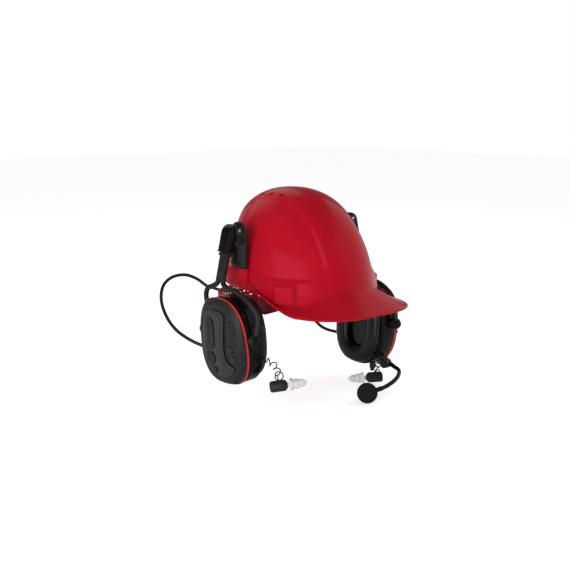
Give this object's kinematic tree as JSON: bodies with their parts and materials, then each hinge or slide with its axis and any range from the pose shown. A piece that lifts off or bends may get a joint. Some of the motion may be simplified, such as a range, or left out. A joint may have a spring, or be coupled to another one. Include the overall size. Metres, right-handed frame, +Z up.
{
  "type": "forestry helmet",
  "caption": "Hard cap with peak, vents and harness, carrying a communication headset: ear muffs on swinging arms, a boom microphone, earplugs on leads and a cable.",
  "frame": {"origin": "centre of the cap at the height of its rim beside the ears, where the wearer's head comes in", "axes": "+Z up through the crown, -Y the way the wearer looks, +X at the wearer's left"},
  "size_m": [0.3389, 0.3516, 0.318],
  "materials": {
    "cap_plastic": "smooth glossy moulded plastic, coloured through",
    "harness_plastic": "satin moulded plastic",
    "sweatband": "brushed synthetic leather over foam",
    "pad": "woven cloth over foam",
    "matte_black": "fine matte moulded plastic",
    "gloss_black": "polished moulded plastic",
    "trim_red": "satin moulded plastic",
    "cushion": "soft synthetic leather over foam and gel",
    "foam": "open cell foam",
    "steel": "plain steel",
    "rubber_black": "satin rubber",
    "silicone": "soft translucent white silicone",
    "circuit_board": "glass fibre board with solder mask",
    "battery": "foil pouch"
  },
  "bodies": {
    "cap": {"shell": "cap_plastic", "headband": "harness_plastic", "sweatband": "sweatband", "crown_cradle": "harness_plastic", "crown_pad": "pad", "clip_front_right": "harness_plastic", "clip_front_left": "harness_plastic", "clip_rear_right": "harness_plastic", "clip_rear_left": "harness_plastic", "right_mount_plate": "matte_black", "left_mount_plate": "matte_black", "crossover_cable": "rubber_black"},
    "nape": {"nape_strap": "harness_plastic"},
    "right_turning": {"right_swivel": "matte_black", "right_hinge_pin": "steel"},
    "right_swinging": {"right_arm": "gloss_black"},
    "right_sliding": {"right_yoke": "matte_black"},
    "right_headset": {"right_pivot_front": "gloss_black", "right_pivot_rear": "gloss_black", "right_cup": "gloss_black", "right_trim_ring": "trim_red", "right_cover": "matte_black", "right_cushion": "cushion", "right_foam_liner": "foam", "right_speaker": "steel", "right_mic_cap_upper": "rubber_black", "right_mic_cap_lower": "rubber_black", "right_cable_gland": "rubber_black", "right_earplug_lead": "rubber_black", "right_earplug_body": "gloss_black", "right_earplug_tip": "silicone", "right_circuit_board": "circuit_board", "right_control_panel": "gloss_black"},
    "left_turning": {"left_swivel": "matte_black", "left_hinge_pin": "steel"},
    "left_swinging": {"left_arm": "gloss_black"},
    "left_sliding": {"left_yoke": "matte_black"},
    "left_headset": {"left_pivot_front": "gloss_black", "left_pivot_rear": "gloss_black", "left_cup": "gloss_black", "left_trim_ring": "trim_red", "left_cover": "matte_black", "left_cushion": "cushion", "left_foam_liner": "foam", "left_speaker": "steel", "left_mic_cap_upper": "rubber_black", "left_mic_cap_lower": "rubber_black", "left_cable_gland": "rubber_black", "left_earplug_lead": "rubber_black", "left_earplug_body": "gloss_black", "left_earplug_tip": "silicone", "left_battery": "battery", "left_boom_socket": "matte_black", "left_accessory_jack": "rubber_black"},
    "rocker": {"right_volume_rocker": "matte_black"},
    "power": {"right_power_button": "matte_black"},
    "mode": {"right_mode_button": "matte_black"},
    "boom": {"left_boom_tube": "gloss_black", "left_mic_windscreen": "foam"}
  },
  "joints": [
    {"name": "right_park", "type": "hinge", "parent": "cap", "child": "right_turning", "pos_m": [-0.1072, 0.024, 0.078], "axis": [1, 0, 0], "range_deg": [-2, 80], "deforming": ["crossover_cable"]},
    {"name": "right_swing", "type": "hinge", "parent": "right_turning", "child": "right_swinging", "pos_m": [-0.1155, 0.024, 0.086], "axis": [0, 1, 0], "range_deg": [-1, 25]},
    {"name": "right_height", "type": "slide", "parent": "right_swinging", "child": "right_sliding", "axis": [-0.2334, 0, -0.9724], "range_m": [0, 0.023]},
    {"name": "right_tilt", "type": "hinge", "parent": "right_sliding", "child": "right_headset", "pos_m": [-0.14398, 0.0005, -0.05834], "axis": [0, 1, 0], "range_deg": [-12, 1]},
    {"name": "left_park", "type": "hinge", "parent": "cap", "child": "left_turning", "pos_m": [0.1072, 0.024, 0.078], "axis": [1, 0, 0], "range_deg": [-2, 80]},
    {"name": "left_swing", "type": "hinge", "parent": "left_turning", "child": "left_swinging", "pos_m": [0.1155, 0.024, 0.086], "axis": [0, -1, 0], "range_deg": [-1, 25]},
    {"name": "left_height", "type": "slide", "parent": "left_swinging", "child": "left_sliding", "axis": [0.2334, 0, -0.9724], "range_m": [-0.021, 0.002]},
    {"name": "left_tilt", "type": "hinge", "parent": "left_sliding", "child": "left_headset", "pos_m": [0.14888, 0.0005, -0.07876], "axis": [0, -1, 0], "range_deg": [-12, 1]},
    {"name": "nape_fit", "type": "slide", "parent": "cap", "child": "nape", "axis": [0, -1, 0], "range_m": [0, 0.03]},
    {"name": "volume_rock", "type": "hinge", "parent": "right_headset", "child": "rocker", "pos_m": [-0.16511, 0.0165, -0.05581], "axis": [0, 1, 0], "range_deg": [-2, 2], "stiffness_Nm_per_rad": 0.12},
    {"name": "power_press", "type": "slide", "parent": "right_headset", "child": "power", "axis": [0.9976, 0, 0.0698], "range_m": [0, 0.0008], "stiffness_N_per_m": 500},
    {"name": "mode_press", "type": "slide", "parent": "right_headset", "child": "mode", "axis": [0.9976, 0, 0.0698], "range_m": [0, 0.0008], "stiffness_N_per_m": 500},
    {"name": "boom_turn", "type": "hinge", "parent": "left_headset", "child": "boom", "pos_m": [0.14179, -0.0415, -0.14442], "axis": [-0.9976, 0, 0.0698], "range_deg": [-25, 60]}
  ]
}
